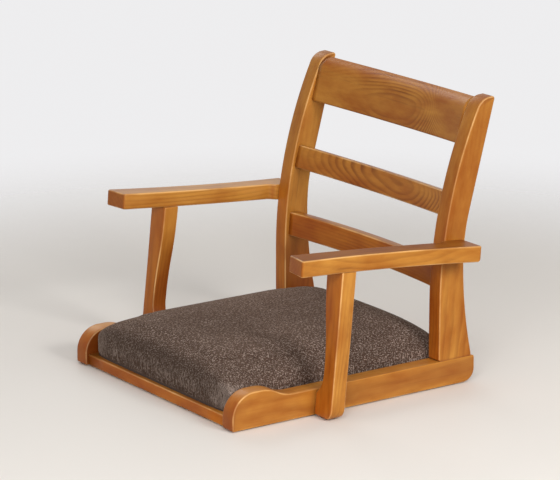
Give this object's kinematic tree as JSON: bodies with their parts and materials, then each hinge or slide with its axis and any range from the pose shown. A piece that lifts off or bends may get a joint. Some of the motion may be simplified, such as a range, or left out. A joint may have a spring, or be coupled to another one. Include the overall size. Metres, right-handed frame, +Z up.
{
  "type": "floor chair",
  "caption": "Legless floor chair: slatted, gently leaning timber back, sloping armrests on leaning supports, and a crowned upholstered seat set low between the side frames.",
  "frame": {"origin": "centre of the whole chair's footprint, on the floor", "axes": "+X across the chair, to the right as seen from in front of it; +Y from the front of the seat to the back; +Z up"},
  "size_m": [0.576, 0.5224, 0.48],
  "materials": {
    "timber": "honey-brown stained hardwood under a satin lacquer",
    "pale_wood": "bare pale hardwood",
    "plywood": "bare plywood",
    "foam": "open-cell upholstery foam",
    "tweed": "grey-brown tweed with light flecks",
    "steel": "zinc-plated steel",
    "felt": "dark brown felt"
  },
  "bodies": {
    "root": {"side_rail_left": "timber", "side_rail_right": "timber", "back_post_left": "timber", "back_post_right": "timber", "lower_slat": "timber", "middle_slat": "timber", "top_slat": "timber", "armrest_left": "timber", "armrest_right": "timber", "arm_support_left": "timber", "arm_support_right": "timber", "front_rail": "timber", "middle_rail": "timber", "rear_rail": "timber", "seat_cleats": "pale_wood", "rail_dowels": "pale_wood", "post_dowels": "pale_wood", "arm_dowels": "pale_wood", "support_dowels": "pale_wood", "seat_panel": "plywood", "seat_foam": "foam", "seat_cover": "tweed", "support_screws": "steel", "cleat_screws": "steel", "seat_screws": "steel", "rail_pads": "felt", "foot_glides": "felt"}
  },
  "joints": []
}
